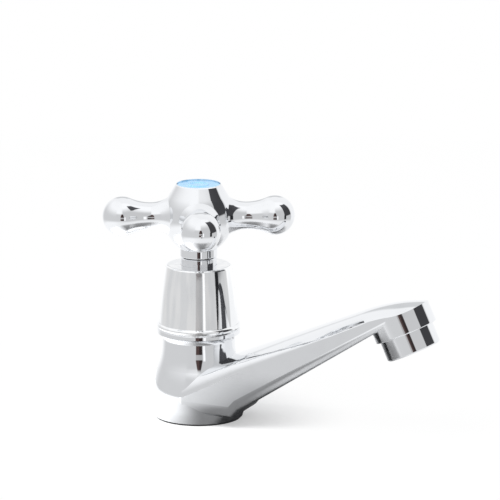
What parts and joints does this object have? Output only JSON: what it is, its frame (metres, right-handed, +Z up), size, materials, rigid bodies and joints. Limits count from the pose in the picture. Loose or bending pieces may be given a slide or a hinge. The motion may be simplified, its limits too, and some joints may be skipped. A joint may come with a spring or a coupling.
{
  "type": "basin pillar tap",
  "caption": "Deck-mounted basin tap with a cross handle on a rising spindle, a tapered shroud, a fixed inclined spout, a screw-on outlet shell and a threaded tail with its backnut.",
  "frame": {"origin": "centre of the foot gasket's underside, on the deck that the tap stands on", "axes": "+Z up along the spindle, +X towards the outlet of the spout"},
  "size_m": [0.1489, 0.0774, 0.1491],
  "materials": {
    "chrome_cast": "polished chrome plate on cast brass",
    "chrome_turned": "polished chrome plate on turned brass",
    "chrome_small": "polished chrome plate",
    "chrome_handle": "polished chrome plate on a zinc casting",
    "chrome_shell": "polished chrome plate",
    "brass_tail": "machined brass",
    "brass_nut": "machined brass, dull",
    "steel_washer": "zinc-plated steel",
    "rubber_deck": "matt black rubber",
    "rubber_gasket": "matt black rubber",
    "fibre": "red vulcanised fibre",
    "brass_bonnet": "machined brass",
    "packing": "white packing ring",
    "brass_spindle": "machined brass",
    "brass_jumper": "machined brass",
    "rubber_washer": "black nitrile rubber",
    "brass_bush": "machined brass",
    "steel_screw": "stainless steel",
    "index_blue": "glossy light blue acrylic",
    "straightener": "moulded white acetal",
    "steel_mesh": "stainless steel wire",
    "rubber_outlet": "black rubber"
  },
  "bodies": {
    "tap": {"tap_body": "chrome_cast", "inlet_tail": "brass_tail", "tail_seal": "fibre", "base_gasket": "rubber_gasket", "deck_washer": "rubber_deck", "clamp_washer": "steel_washer", "backnut": "brass_nut", "bonnet": "brass_bonnet", "bonnet_washer": "fibre", "gland_packing": "packing", "gland_nut": "chrome_small", "shroud": "chrome_turned", "aerator_shell": "chrome_shell", "aerator_washer": "rubber_outlet", "aerator_insert": "straightener", "aerator_screen": "steel_mesh"},
    "jumper_set": {"jumper": "brass_jumper", "jumper_washer": "rubber_washer", "jumper_nut": "brass_jumper"},
    "handle_set": {"spindle": "brass_spindle", "handle": "chrome_handle", "handle_bush": "brass_bush", "handle_screw": "steel_screw", "screw_washer": "steel_screw", "index_button": "index_blue"}
  },
  "joints": [
    {"name": "jumper_lift", "type": "slide", "parent": "tap", "child": "jumper_set", "axis": [0, 0, 1], "range_m": [0, 0.004]},
    {"name": "handle_turn", "type": "hinge", "parent": "jumper_set", "child": "handle_set", "pos_m": [0, 0, 0.089], "axis": [0, 0, 1], "range_deg": [0, 720]}
  ],
  "couplings": [
    {"joint": "jumper_lift", "follows": "handle_turn", "m_per_rad": 0.0003183}
  ]
}
